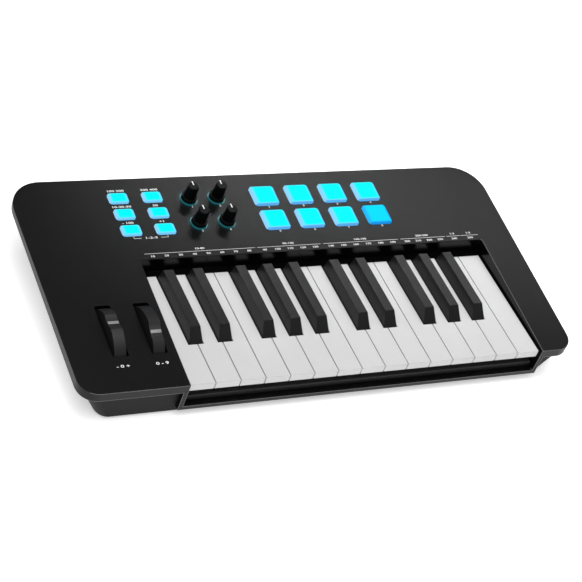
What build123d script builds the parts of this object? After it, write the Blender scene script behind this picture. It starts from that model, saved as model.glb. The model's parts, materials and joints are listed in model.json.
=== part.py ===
from build123d import *
import math
import os

# A 25-key controller keyboard: 15 white and 10 black sprung keys in a two-part plastic case, with
# two thumb wheels, four knobs, eight lit pads and six lit buttons on its sloping top.
# Millimetres. Origin at the middle of the footprint, on the surface that the feet stand on.
# +X towards the treble end, +Y towards the back, +Z up.

# ---- Driving dimensions: case ----
CASE_W = 487.0
CASE_D = 230.4
FRONT_CORNER_R = 17.0
BACK_CORNER_R = 31.0
PANEL_FRONT_Z = 37.7
PANEL_TILT = 4.74
PANEL_T = 2.5
LIP_FRONT_H = 8.5
LIP_BACK_H = 5.5
LIP_WALL = 3.0
FOOT_H = 2.0
FOOT_R = 7.0
FOOT_INSET_X = 68.0
FOOT_INSET_Y = 24.0

# ---- Driving dimensions: lower shell ----
HULL_WALL = 2.5
HULL_FLOOR = 2.2
HULL_END_LEAN = 32.0
HULL_BREAK_DROP = 5.0
HULL_FRONT_TUCK = 1.0
HULL_BACK_TUCK = 5.0
HULL_FRONT_R = 12.0
HULL_BACK_R = 24.0
HULL_FLOOR_R = 2.5

# ---- Driving dimensions: key recess and its front rim ----
BASS_CHEEK_W = 95.6
RECESS_D = 135.9
RECESS_WALL = 2.0
RIM_W = 4.0
RIM_T = 6.5
RIM_BAR_H = 4.0
RIM_BAR_Z = 8.0
LEDGE_T = 2.0

# ---- Driving dimensions: keys ----
OCTAVES = 2
WHITE_PITCH = 23.5
WHITE_GAP = 1.0
WHITE_LEN = 125.5
KEY_TOP_Z = 35.0
KEY_H = 7.0
KEY_SIDE_GAP = 1.5
KEY_SETBACK = 3.0
KEY_SKIN = 2.2
KEY_SIDE_T = 1.8
KEY_DIP_DEG = 4.0
BLACK_W = 13.0
BLACK_TOP_W = 9.3
BLACK_H = 11.0
BLACK_START = 44.8
BLACK_SLOPE = 9.9
BLACK_END = 122.0
BLACK_BACK_SLOPE = 1.6
BLACK_GAP = 0.9
BLACK_SKIN = 1.8
# A black key's middle, measured from the joint between the two white keys that it stands over.
BLACK_OFFSETS = {0: -1.4, 1: 2.9, 3: -2.1, 4: 1.0, 5: 3.7}
TAIL_W = 8.0
TAIL_H = 7.0
TAIL_DROP = 5.0
TAIL_END = 152.0
PIVOT_Y = 146.0
PIVOT_R = 1.5
PIVOT_DROP = 8.5

# ---- Driving dimensions: keybed ----
CHASSIS_T = 2.0
CHASSIS_END = 158.0
FELT_T = 2.0
FELT_W = 8.0
REST_FELT_T = 1.2
REST_RAIL_W = 2.5
BOARD_T = 1.6
CONTACT_Y = 72.0
CONTACT_W = 16.0
DOME_H = 4.0
DOME_R = 3.0
RUBBER_T = 1.2
SPRING_R = 2.0
SPRING_WIRE = 0.8
SPRING_Y = 141.5

# ---- Driving dimensions: controls on the panel ----
PAD_X = 242.3
PAD_PITCH_X = 36.05
PAD_COLS = 4
ROW_FRONT_S = 174.0
ROW_BACK_S = 203.3
PAD_W = 24.8
PAD_D = 22.6
PAD_R = 3.2
PAD_RISE = 2.0
PAD_BEVEL = 0.9
PAD_TRAVEL = 1.0
BUTTON_X = 98.6
BUTTON_PITCH_X = 32.6
BUTTON_S = 169.9
BUTTON_PITCH_S = 18.95
BUTTON_W = 18.4
BUTTON_D = 11.9
BUTTON_R = 2.6
BUTTON_RISE = 1.5
BUTTON_BEVEL = 0.6
BUTTON_TRAVEL = 0.8
KNOB_X = 165.9
KNOB_FRONT_S = 175.3
KNOB_BACK_S = 204.0
KNOB_PITCH_X = 27.7
KNOB_R = 5.6
KNOB_TOP_R = 5.0
KNOB_H = 16.6
KNOB_SKIRT_R = 7.3
KNOB_SKIRT_H = 3.2
KNOB_LIFT = 0.8
KNOB_RIBS = 24
POINTER_W = 1.2
POINTER_DEPTH = 0.7
SHAFT_R = 3.0
RING_R = 8.4
RING_RISE = 0.3
BOARD_DROP = 9.0

# ---- Driving dimensions: wheels ----
PITCH_WHEEL_X = 45.4
MOD_WHEEL_X = 80.25
WHEEL_Y = 64.0
WHEEL_Z = 21.0
WHEEL_R = 32.5
WHEEL_W = 10.4
WHEEL_HALF_ARC = 82.0
WHEEL_SWING = 22.0
WHEEL_HUB_R = 6.0
NOTCH_DEPTH = 2.5
NOTCH_R = 23.0
AXLE_R = 2.0
SLOT_W = 14.3
SLOT_L = 54.0
SLOT_S = 35.7
SLOT_R = 1.5
BRACKET_T = 3.0
BRACKET_D = 12.0

# ---- Driving dimensions: back sockets and fasteners ----
SOCKET_Z = 22.0
USB_X = 150.0
USB_W = 12.0
USB_H = 11.0
USB_D = 16.0
USB_MOUTH_W = 8.5
USB_MOUTH_H = 7.8
USB_MOUTH_D = 12.0
USB_TONGUE_W = 5.6
USB_TONGUE_H = 3.2
USB_TONGUE_L = 7.2
JACK_X = 185.0
JACK_W = 14.0
JACK_L = 24.0
JACK_BORE_R = 3.25
JACK_BORE_L = 20.0
JACK_COLLAR_R = 5.5
JACK_COLLAR_L = 1.6
SCREW_R = 1.5
SCREW_HEAD_R = 3.0
SCREW_HEAD_H = 2.0
SCREW_LENGTH = 12.0
FRONT_SCREW_Y = 24.0
BOSS_R = 4.5

# ---- Clearances ----
SHELL_CLEAR = 0.4
SLIDE_CLEAR = 0.5
RUN_CLEAR = 0.05
SEAT_CLEAR = 0.3
SCREW_CLEAR = 0.1

# ---- Values worked out from the driving dimensions ----
TILT = math.radians(PANEL_TILT)
FRONT = -CASE_D / 2
BACK = CASE_D / 2
BASS_END = -CASE_W / 2
WHITE_COUNT = 7 * OCTAVES + 1
KEYS_X0 = BASS_END + BASS_CHEEK_W + KEY_SIDE_GAP
KEYS_X1 = KEYS_X0 + WHITE_COUNT * WHITE_PITCH
RECESS_X0 = BASS_END + BASS_CHEEK_W
RECESS_X1 = KEYS_X1 + KEY_SIDE_GAP
RECESS_BACK = FRONT + RECESS_D
KEY_FRONT = FRONT + KEY_SETBACK
KEY_BOTTOM_Z = KEY_TOP_Z - KEY_H
TAIL_TOP_Z = KEY_TOP_Z - TAIL_DROP
TAIL_BOTTOM_Z = TAIL_TOP_Z - TAIL_H
PIVOT_Z = KEY_TOP_Z - PIVOT_DROP
RIM_BAR_TOP_Z = RIM_BAR_Z + RIM_BAR_H
CHASSIS_Z = RIM_BAR_TOP_Z
HULL_INSET = LIP_WALL + SHELL_CLEAR
HULL_BOTTOM_Z = FOOT_H
HULL_FLOOR_Z = FOOT_H + HULL_FLOOR
ABOVE = 2 * PANEL_FRONT_Z + CASE_D
FROM_FOOT = (Align.CENTER, Align.CENTER, Align.MIN)


# ---- Small building blocks ----
def block(x0, x1, y0, y1, z0, z1):
    """A box between two corners."""
    middle = Pos((x0 + x1) / 2, (y0 + y1) / 2, (z0 + z1) / 2)
    return middle * Box(x1 - x0, y1 - y0, z1 - z0)


def outline(points, radii):
    """A flat closed face through the points, each corner rounded by its own radius."""
    corners = [Vector(*point) for point in points]
    starts = []
    ends = []
    arcs = []
    for index, corner in enumerate(corners):
        to_last = (corners[index - 1] - corner).normalized()
        to_next = (corners[(index + 1) % len(corners)] - corner).normalized()
        half = math.radians(to_last.get_angle(to_next)) / 2
        radius = radii[index]
        start = corner + to_last * (radius / math.tan(half))
        end = corner + to_next * (radius / math.tan(half))
        starts.append(start)
        ends.append(end)
        if radius > 0:
            bulge = radius / math.sin(half) - radius
            middle = corner + (to_last + to_next).normalized() * bulge
            arcs.append(ThreePointArc(start, middle, end))
    sides = [Line(end, starts[(index + 1) % len(starts)]) for index, end in enumerate(ends)]
    return make_face(arcs + sides)


def along_x(face, x0, x1):
    """A (y, z) face drawn from x0 to x1."""
    return extrude(Plane.YZ * Pos(0, 0, x0) * face, amount=x1 - x0, dir=(1, 0, 0))


def along_y(face, y0, y1):
    """An (x, z) face drawn from y0 to y1."""
    return extrude(Plane.XZ * Pos(0, 0, -y0) * face, amount=y1 - y0, dir=(0, 1, 0))


def panel_z(y):
    """Height of the top face at a place along the depth."""
    return PANEL_FRONT_Z + (y - FRONT) * math.tan(TILT)


def below_panel(offset=0.0):
    """Everything below the top face, lowered by an offset square to that face."""
    drop = offset / math.cos(TILT)
    y0 = FRONT - CASE_D
    y1 = BACK + CASE_D
    points = [(y0, -ABOVE), (y1, -ABOVE), (y1, panel_z(y1) - drop), (y0, panel_z(y0) - drop)]
    return along_x(outline(points, [0] * 4), -CASE_W, CASE_W)


def on_panel(x, s, h, shape):
    """A shape moved onto the top face: x from the bass end, s up the slope, h above the face."""
    square = (0, -math.sin(TILT), math.cos(TILT))
    face = Plane(origin=(BASS_END, FRONT, PANEL_FRONT_Z), x_dir=(1, 0, 0), z_dir=square)
    return face * Pos(x, s, h) * shape


def rounded_plate(width, depth, radius, z0, z1):
    """A plate with rounded corners between two heights."""
    return extrude(Pos(0, 0, z0) * RectangleRounded(width, depth, radius), amount=z1 - z0)


def plan_face(inset, front_r, back_r, z):
    """The case's outline seen from above, inset all round, at a height."""
    x = CASE_W / 2 - inset
    y = CASE_D / 2 - inset
    corners = [(-x, -y), (x, -y), (x, y), (-x, y)]
    face = outline(corners, [front_r - inset, front_r - inset, back_r - inset, back_r - inset])
    return Pos(0, 0, z) * face


def case_plan(inset, front_r, back_r, z0, z1):
    """The case's outline drawn between two heights."""
    return extrude(plan_face(inset, front_r, back_r, z0), amount=z1 - z0, dir=(0, 0, 1))


# ---- Where the controls stand ----
def pad_places():
    """The pads, numbered from the back row's bass end."""
    return [(PAD_X + col * PAD_PITCH_X, s) for s in (ROW_BACK_S, ROW_FRONT_S) for col in range(PAD_COLS)]


def button_places():
    """The buttons, numbered from the back row's bass end."""
    rows = [BUTTON_S + row * BUTTON_PITCH_S for row in (2, 1, 0)]
    return [(BUTTON_X + col * BUTTON_PITCH_X, s) for s in rows for col in range(2)]


def knob_places():
    """The knobs, numbered from the back row's bass end."""
    return [(KNOB_X + col * KNOB_PITCH_X, s) for s in (KNOB_BACK_S, KNOB_FRONT_S) for col in range(2)]


def wheel_places():
    """The two wheels' middles along the width."""
    return {"pitch_wheel": BASS_END + PITCH_WHEEL_X, "mod_wheel": BASS_END + MOD_WHEEL_X}


def case_screw_places():
    """The screws that pull the two shells together."""
    side_y = FRONT + FRONT_SCREW_Y
    back_y = BACK - HULL_BACK_R - 2 * BOSS_R
    side_x = tub_half_width(side_y, HULL_WALL, HULL_FLOOR_Z) - 2 * BOSS_R
    back_x = tub_half_width(back_y, HULL_WALL, HULL_FLOOR_Z) - 2 * BOSS_R
    return [(-side_x, side_y)] + [(x, back_y) for x in (-back_x, -30, 130, back_x)]


def chassis_screw_places():
    """The screws that hold the keybed to the lower shell."""
    xs = [KEYS_X0 + WHITE_PITCH * step for step in (1, WHITE_COUNT / 2, WHITE_COUNT - 1)]
    return [(x, KEY_FRONT + y) for x in xs for y in (28, 112)]


def board_post_places():
    """The posts under the panel that carry the control board."""
    middle_s = (ROW_BACK_S + ROW_FRONT_S) / 2
    xs = [BUTTON_X + BUTTON_PITCH_X / 2, KNOB_X + KNOB_PITCH_X / 2, PAD_X + 1.5 * PAD_PITCH_X]
    return [(x, middle_s) for x in xs]


# ---- Keys ----
def black_centres():
    """The black keys' middles, from the first white key's bass side."""
    found = []
    for octave in range(OCTAVES):
        for step, offset in BLACK_OFFSETS.items():
            joint = (7 * octave + step + 1) * WHITE_PITCH
            found.append(joint + offset)
    return found


def key_tail(middle, start):
    """The narrow rear arm of a key, bored for the pivot rod."""
    x0 = middle - TAIL_W / 2
    arm = block(x0, x0 + TAIL_W, KEY_FRONT + start, KEY_FRONT + TAIL_END, TAIL_BOTTOM_Z, TAIL_TOP_Z)
    bore = Cylinder(PIVOT_R + RUN_CLEAR, TAIL_W * 2, rotation=(0, 90, 0))
    return arm - Pos(middle, KEY_FRONT + PIVOT_Y, PIVOT_Z) * bore


def white_limits(index):
    """A white key's sides at the front and, between the black keys, at the back."""
    x0 = index * WHITE_PITCH + WHITE_GAP / 2
    x1 = (index + 1) * WHITE_PITCH - WHITE_GAP / 2
    reach = BLACK_W / 2 + BLACK_GAP
    back0 = x0
    back1 = x1
    for centre in black_centres():
        if centre - reach < x0 < centre + reach:
            back0 = centre + reach
        if centre - reach < x1 < centre + reach:
            back1 = centre - reach
    return x0, x1, back0, back1


def white_key(index):
    """A hollow white key: a skin with sides and cross webs, and a bored tail."""
    x0, x1, back0, back1 = white_limits(index)
    shoulder = BLACK_START - BLACK_GAP
    front = block(x0, x1, 0, shoulder, -KEY_H, 0)
    back = block(back0, back1, shoulder - 1, WHITE_LEN, -KEY_H, 0)
    side = KEY_SIDE_T
    front_hollow = block(x0 + side, x1 - side, side, shoulder - side, -KEY_H, -KEY_SKIN)
    web = CONTACT_Y - KEY_SIDE_T
    mid_hollow = block(back0 + KEY_SIDE_T, back1 - KEY_SIDE_T, shoulder, web, -KEY_H, -KEY_SKIN)
    rear = CONTACT_Y + KEY_SIDE_T + 2 * DOME_R
    rear_hollow = block(back0 + side, back1 - side, rear, WHITE_LEN - 2 * side, -KEY_H, -KEY_SKIN)
    top = front + back - front_hollow - mid_hollow - rear_hollow
    top = Pos(KEYS_X0, KEY_FRONT, KEY_TOP_Z) * top
    middle = KEYS_X0 + (back0 + back1) / 2
    return top + key_tail(middle, WHITE_LEN - 2 * KEY_SIDE_T)


def black_key(centre):
    """A hollow black key: tapered sides, a sloping front and a bored tail."""
    top_start = BLACK_START + BLACK_SLOPE
    side = [
        (BLACK_START, -KEY_H),
        (BLACK_END + BLACK_BACK_SLOPE, -KEY_H),
        (BLACK_END + BLACK_BACK_SLOPE, 0),
        (BLACK_END, BLACK_H),
        (top_start, BLACK_H),
        (BLACK_START, 0),
    ]
    half = BLACK_W / 2
    top_half = BLACK_TOP_W / 2
    end = [(-half, -KEY_H), (half, -KEY_H), (half, 0), (top_half, BLACK_H), (-top_half, BLACK_H), (-half, 0)]
    body = along_x(outline(side, [0] * 6), -half, half)
    body = body & along_y(outline(end, [0] * 6), 0, TAIL_END)
    inner = top_half - BLACK_SKIN
    ceiling = BLACK_H - BLACK_SKIN
    front_hollow = block(-inner, inner, top_start + BLACK_SKIN, CONTACT_Y - KEY_SIDE_T, -KEY_H, ceiling)
    rear = CONTACT_Y + KEY_SIDE_T + 2 * DOME_R
    rear_hollow = block(-inner, inner, rear, BLACK_END - 2 * BLACK_SKIN, -KEY_H, ceiling)
    body = body - front_hollow - rear_hollow
    x = KEYS_X0 + centre
    return Pos(x, KEY_FRONT, KEY_TOP_Z) * body + key_tail(x, BLACK_END - BLACK_SKIN)


def tail_middles():
    """The middles of all the key tails, white then black."""
    whites = [sum(white_limits(index)[2:]) / 2 for index in range(WHITE_COUNT)]
    return [KEYS_X0 + middle for middle in whites + black_centres()]


# ---- Keybed ----
def key_pivot_rod():
    """The steel rod that all the keys turn on."""
    rod = Cylinder(PIVOT_R, KEYS_X1 - KEYS_X0, rotation=(0, 90, 0))
    return Pos((KEYS_X0 + KEYS_X1) / 2, KEY_FRONT + PIVOT_Y, PIVOT_Z) * rod


def pivot_rib_places():
    """The middles of the gaps between tails that hold a rib for the rod."""
    tails = sorted(tail_middles())
    gaps = [(low + high) / 2 for low, high in zip(tails, tails[1:])]
    return gaps[1::3]


def chassis_front():
    """Front face of the keybed, a clearance behind the rim."""
    return FRONT + RIM_T + SEAT_CLEAR


def stop_rail_top():
    """Height of the rail under the key fronts, a felt and a clearance below a pressed key."""
    arm = KEY_FRONT + PIVOT_Y - chassis_front()
    dip = arm * math.sin(math.radians(KEY_DIP_DEG))
    return KEY_BOTTOM_Z - dip - FELT_T - SEAT_CLEAR


def contact_top():
    """Height of the contact board, with its domes a clearance below a pressed key."""
    arm = PIVOT_Y - CONTACT_Y
    dip = arm * math.sin(math.radians(KEY_DIP_DEG))
    return KEY_BOTTOM_Z - dip - SEAT_CLEAR - DOME_H - RUBBER_T


def rest_rail_top():
    """Height of the rail behind the pivot that the tails rest on."""
    return TAIL_BOTTOM_Z - SEAT_CLEAR - REST_FELT_T


def keybed_chassis():
    """The moulded frame that carries the rod, felts, springs and contact board."""
    x0 = RECESS_X0 + SEAT_CLEAR
    x1 = RECESS_X1 - SEAT_CLEAR
    y0 = chassis_front()
    end = KEY_FRONT + CHASSIS_END
    frame = block(x0, x1, y0, end, CHASSIS_Z - CHASSIS_T, CHASSIS_Z)
    frame += block(x0, x1, y0, y0 + FELT_W, CHASSIS_Z - CHASSIS_T, stop_rail_top())
    board_y = KEY_FRONT + CONTACT_Y
    rail_top = contact_top() - BOARD_T
    frame += block(x0, x1, board_y, board_y + CONTACT_W, CHASSIS_Z - CHASSIS_T, rail_top)
    rest_y = KEY_FRONT + TAIL_END - REST_RAIL_W
    frame += block(x0, x1, rest_y, rest_y + REST_RAIL_W, CHASSIS_Z - CHASSIS_T, rest_rail_top())
    pivot_y = KEY_FRONT + PIVOT_Y
    eye_r = 2 * PIVOT_R
    for x in pivot_rib_places() + [KEYS_X0 + 1.2, KEYS_X1 - 1.2]:
        half = 1.1
        eye_top = PIVOT_Z + eye_r
        frame += block(x - half, x + half, pivot_y - eye_r, pivot_y + eye_r, CHASSIS_Z - CHASSIS_T, eye_top)
    bore = Cylinder(PIVOT_R + RUN_CLEAR, CASE_W, rotation=(0, 90, 0))
    frame -= Pos(0, pivot_y, PIVOT_Z) * bore
    for x, y in chassis_screw_places():
        frame -= Pos(x, y, CHASSIS_Z) * Cylinder(SCREW_R + SCREW_CLEAR, 3 * CHASSIS_T)
    return frame


def key_felts():
    """Two felt strips: one under the key fronts, one under the tails."""
    x0 = KEYS_X0
    x1 = KEYS_X1
    front_y = chassis_front()
    front = block(x0, x1, front_y, front_y + FELT_W, stop_rail_top(), stop_rail_top() + FELT_T)
    rest_y = KEY_FRONT + TAIL_END - REST_RAIL_W
    rest = block(x0, x1, rest_y, rest_y + REST_RAIL_W, rest_rail_top(), rest_rail_top() + REST_FELT_T)
    return Compound([front, rest])


def key_springs():
    """One close-wound return spring under each tail, just in front of the pivot."""
    length = TAIL_BOTTOM_Z - SEAT_CLEAR - CHASSIS_Z
    dip = (PIVOT_Y - SPRING_Y + SPRING_R) * math.sin(math.radians(KEY_DIP_DEG))
    coils = int((length - dip) / SPRING_WIRE)
    inner = SPRING_R - SPRING_WIRE
    points = [(inner, 0)]
    edges = []
    for turn in range(coils):
        z = turn * SPRING_WIRE
        low = (SPRING_R - SPRING_WIRE / 2, z)
        high = (SPRING_R - SPRING_WIRE / 2, z + SPRING_WIRE)
        edges.append(ThreePointArc(low, (SPRING_R, z + SPRING_WIRE / 2), high))
    top = coils * SPRING_WIRE
    edges.append(Line(points[0], (SPRING_R - SPRING_WIRE / 2, 0)))
    edges.append(Line((SPRING_R - SPRING_WIRE / 2, top), (inner, top)))
    edges.append(Line((inner, top), points[0]))
    coil = revolve(Plane.XZ * make_face(edges), Axis.Z)
    return Compound([Pos(x, KEY_FRONT + SPRING_Y, CHASSIS_Z) * coil for x in tail_middles()])


def contact_board():
    """The long circuit board under the keys."""
    y = KEY_FRONT + CONTACT_Y
    x0 = RECESS_X0 + SEAT_CLEAR
    return block(x0, RECESS_X1 - SEAT_CLEAR, y, y + CONTACT_W, contact_top() - BOARD_T, contact_top())


def contact_rubber():
    """The rubber strip with one contact dome under each key."""
    y = KEY_FRONT + CONTACT_Y
    dome_y = y + KEY_SIDE_T / 2 + DOME_R
    strip = block(KEYS_X0, KEYS_X1, y, y + CONTACT_W - 2, contact_top(), contact_top() + RUBBER_T)
    dome = Cone(DOME_R, DOME_R * 0.6, DOME_H, align=FROM_FOOT)
    for x in tail_middles():
        strip += Pos(x, dome_y, contact_top() + RUBBER_T) * dome
    return strip


# ---- Case ----
def recess_walls():
    """The walls round the key recess, its front rim and the ledge behind the white keys."""
    x0 = RECESS_X0
    x1 = RECESS_X1
    wall = RECESS_WALL
    outer0 = x0 - wall
    outer1 = x1 + wall
    foot = KEY_TOP_Z - LEDGE_T * 1.6
    walls = block(outer0, x0, FRONT, RECESS_BACK + wall, CHASSIS_Z, ABOVE)
    walls += block(x1, outer1, FRONT, RECESS_BACK + wall, CHASSIS_Z, ABOVE)
    walls += block(outer0, outer1, RECESS_BACK, RECESS_BACK + wall, foot, ABOVE)
    ledge_y = KEY_FRONT + WHITE_LEN + BLACK_GAP
    walls += block(outer0, outer1, ledge_y, RECESS_BACK + wall, foot, foot + LEDGE_T)
    walls += block(x0 - RIM_W, x0, FRONT, FRONT + RIM_T, RIM_BAR_Z, ABOVE)
    walls += block(x1, x1 + RIM_W, FRONT, FRONT + RIM_T, RIM_BAR_Z, ABOVE)
    walls += block(x0 - RIM_W, x1 + RIM_W, FRONT, FRONT + RIM_T, RIM_BAR_Z, RIM_BAR_TOP_Z)
    return walls & below_panel()


def top_case():
    """The upper shell: sloping panel, lip, key recess, openings for the controls, and its posts."""
    shell = case_plan(0, FRONT_CORNER_R, BACK_CORNER_R, 0, ABOVE) & below_panel()
    hollow = case_plan(LIP_WALL, FRONT_CORNER_R, BACK_CORNER_R, -1, ABOVE) & below_panel(PANEL_T)
    seam = [
        (FRONT - 10, -10),
        (BACK + 10, -10),
        (BACK + 10, panel_z(BACK) - LIP_BACK_H),
        (BACK, panel_z(BACK) - LIP_BACK_H),
        (FRONT, panel_z(FRONT) - LIP_FRONT_H),
        (FRONT - 10, panel_z(FRONT) - LIP_FRONT_H),
    ]
    shell = shell - hollow - along_x(outline(seam, [0] * 6), -CASE_W, CASE_W)
    shell -= block(RECESS_X0, RECESS_X1, FRONT - 1, RECESS_BACK, -1, ABOVE)
    shell += recess_walls()
    deep = 4 * PANEL_T
    gap = 2 * SLIDE_CLEAR
    for x, s in pad_places():
        hole = rounded_plate(PAD_W + gap, PAD_D + gap, PAD_R + SLIDE_CLEAR, -deep, deep)
        shell -= on_panel(x, s, 0, hole)
    for x, s in button_places():
        hole = rounded_plate(BUTTON_W + gap, BUTTON_D + gap, BUTTON_R + SLIDE_CLEAR, -deep, deep)
        shell -= on_panel(x, s, 0, hole)
    for x, s in knob_places():
        shell -= on_panel(x, s, 0, Cylinder(RING_R + SCREW_CLEAR, 2 * deep))
    for x in wheel_places().values():
        slot = rounded_plate(SLOT_W, SLOT_L, SLOT_R, -deep, deep)
        shell -= on_panel(x - BASS_END, SLOT_S + SLOT_L / 2, 0, slot)
    for x, y in case_screw_places():
        boss_z = HULL_FLOOR_Z + 2 * SCREW_HEAD_H + SEAT_CLEAR
        post = Pos(x, y, boss_z) * Cylinder(BOSS_R, ABOVE, align=FROM_FOOT)
        shell += post & below_panel(PANEL_T / 2)
        shell -= Pos(x, y, boss_z) * Cylinder(SCREW_R + SCREW_CLEAR, 2 * SCREW_LENGTH)
    for x, s in board_post_places():
        post = Cylinder(BOSS_R / 1.5, BOARD_DROP - PANEL_T / 2, align=FROM_FOOT)
        shell += on_panel(x, s, -BOARD_DROP, post)
    return shell


def break_z(y):
    """Height where the lower shell's walls stop being upright and lean in."""
    return panel_z(y) - HULL_BREAK_DROP


def tub_y(side, tuck, inset, z):
    """The middle of the front (-1) or back (1) wall's outside at a height."""
    top = break_z(side * BACK)
    share = (top - z) / (top - HULL_BOTTOM_Z)
    return side * (BACK - HULL_INSET - inset - tuck * share)


def tub_half_width(y, inset, z):
    """Half of the lower shell's width at a place along the depth and a height."""
    lean = math.radians(HULL_END_LEAN)
    return CASE_W / 2 - HULL_INSET - inset / math.cos(lean) - (break_z(y) - z) * math.tan(lean)


def tub_face(inset, z):
    """The lower shell's outline at a height, without the limit of its upright walls."""
    y0 = tub_y(-1, HULL_FRONT_TUCK, inset, z)
    y1 = tub_y(1, HULL_BACK_TUCK, inset, z)
    x0 = tub_half_width(y0, inset, z)
    x1 = tub_half_width(y1, inset, z)
    front_r = HULL_FRONT_R - inset
    back_r = HULL_BACK_R - inset
    face = outline([(-x0, y0), (x0, y0), (x1, y1), (-x1, y1)], [front_r, front_r, back_r, back_r])
    return Pos(0, 0, z) * face


def hull(inset, top_drop):
    """The lower shell's outer form, or its hollow when inset."""
    low = HULL_BOTTOM_Z + (HULL_FLOOR if inset else 0)
    tub = loft([tub_face(inset, low), tub_face(inset, panel_z(BACK))], ruled=True)
    tub = fillet(tub.faces().sort_by(Axis.Z)[0].edges(), HULL_FLOOR_R)
    plan = case_plan(HULL_INSET + inset, FRONT_CORNER_R, BACK_CORNER_R, 0, ABOVE)
    return tub & plan & below_panel(top_drop)


def bottom_case():
    """The lower shell: a tub with tucked ends, cut away for the key front rim."""
    shell = hull(0, PANEL_T + SEAT_CLEAR) - hull(HULL_WALL, 0)
    x0 = RECESS_X0 - RIM_W - SEAT_CLEAR
    x1 = RECESS_X1 + RIM_W + SEAT_CLEAR
    shell -= block(x0, x1, FRONT, FRONT + RIM_T + 2 * HULL_WALL, RIM_BAR_Z - SEAT_CLEAR, ABOVE)
    for x, y in case_screw_places():
        boss = Cylinder(BOSS_R, 2 * SCREW_HEAD_H, align=FROM_FOOT)
        shell += Pos(x, y, HULL_FLOOR_Z) * boss
    for x, y in chassis_screw_places():
        height = CHASSIS_Z - CHASSIS_T - HULL_FLOOR_Z
        shell += Pos(x, y, HULL_FLOOR_Z) * Cylinder(BOSS_R, height, align=FROM_FOOT)
    for x, y in case_screw_places() + chassis_screw_places():
        shell -= Pos(x, y, HULL_BOTTOM_Z) * Cylinder(SCREW_R + SCREW_CLEAR, 8 * SCREW_HEAD_H)
        head = Cylinder(SCREW_HEAD_R + SCREW_CLEAR, SCREW_HEAD_H, align=FROM_FOOT)
        shell -= Pos(x, y, HULL_BOTTOM_Z) * head
    for x, width, height, depth in socket_places():
        seat_y = socket_face_y() - depth
        seat = block(x - width / 2, x + width / 2, seat_y, BACK, HULL_BOTTOM_Z, SOCKET_Z - height / 2)
        shell += seat & hull(0, 0)
        shell -= socket_hole(x, width, height)
    return shell


# ---- Back sockets ----
def socket_face_y():
    """The plane of the sockets' outer faces, just inside the back wall's outside."""
    return tub_y(1, HULL_BACK_TUCK, HULL_WALL / 2, SOCKET_Z)


def socket_places():
    """Middle, width, height and depth of the two sockets' bodies."""
    return [(BASS_END + USB_X, USB_W, USB_H, USB_D), (BASS_END + JACK_X, JACK_W, JACK_W, JACK_L)]


def socket_hole(x, width, height):
    """The opening in the back wall that a socket's body stands in."""
    w = width / 2 + SEAT_CLEAR
    h = height / 2 + SEAT_CLEAR
    y0 = BACK - HULL_INSET - HULL_WALL - HULL_BACK_TUCK
    return block(x - w, x + w, y0, BACK, SOCKET_Z - h, SOCKET_Z + h)


def rear_sockets():
    """A square data socket with its tongue, and a round pedal jack."""
    face = socket_face_y()
    usb_x = BASS_END + USB_X
    w = USB_W / 2
    h = USB_H / 2
    usb = block(usb_x - w, usb_x + w, face - USB_D, face, SOCKET_Z - h, SOCKET_Z + h)
    mw = USB_MOUTH_W / 2
    mh = USB_MOUTH_H / 2
    usb -= block(usb_x - mw, usb_x + mw, face - USB_MOUTH_D, face + 1, SOCKET_Z - mh, SOCKET_Z + mh)
    tw = USB_TONGUE_W / 2
    th = USB_TONGUE_H / 2
    root = face - USB_MOUTH_D
    usb += block(usb_x - tw, usb_x + tw, root - 1, root + USB_TONGUE_L, SOCKET_Z - th, SOCKET_Z + th)
    jack_x = BASS_END + JACK_X
    j = JACK_W / 2
    jack = block(jack_x - j, jack_x + j, face - JACK_L, face, SOCKET_Z - j, SOCKET_Z + j)
    collar = Cylinder(JACK_COLLAR_R, 2 * JACK_COLLAR_L, rotation=(90, 0, 0))
    jack += Pos(jack_x, face, SOCKET_Z) * collar
    bore = Cylinder(JACK_BORE_R, 2 * JACK_BORE_L, rotation=(90, 0, 0))
    jack -= Pos(jack_x, face + JACK_COLLAR_L, SOCKET_Z) * bore
    return Compound([usb, jack])


# ---- Panel controls ----
def cap(width, depth, radius, rise, bevel, travel):
    """A lit cap with a flange under the panel and a plunger over the board, in panel places."""
    under = -PANEL_T - SEAT_CLEAR
    body = rounded_plate(width, depth, radius, under, rise)
    body = chamfer(body.faces().sort_by(Axis.Z)[-1].edges(), bevel)
    flange = rounded_plate(width + 3, depth + 3, radius + 1.5, under - 1.2, under)
    plunger_z = -BOARD_DROP + travel + SEAT_CLEAR
    plunger = rounded_plate(width / 2, depth / 2, radius / 2, plunger_z, under - 1)
    return body + flange + plunger


def pad(x, s):
    """One pad in its place."""
    return on_panel(x, s, 0, cap(PAD_W, PAD_D, PAD_R, PAD_RISE, PAD_BEVEL, PAD_TRAVEL))


def button(x, s):
    """One button in its place."""
    return on_panel(x, s, 0, cap(BUTTON_W, BUTTON_D, BUTTON_R, BUTTON_RISE, BUTTON_BEVEL, BUTTON_TRAVEL))


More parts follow.
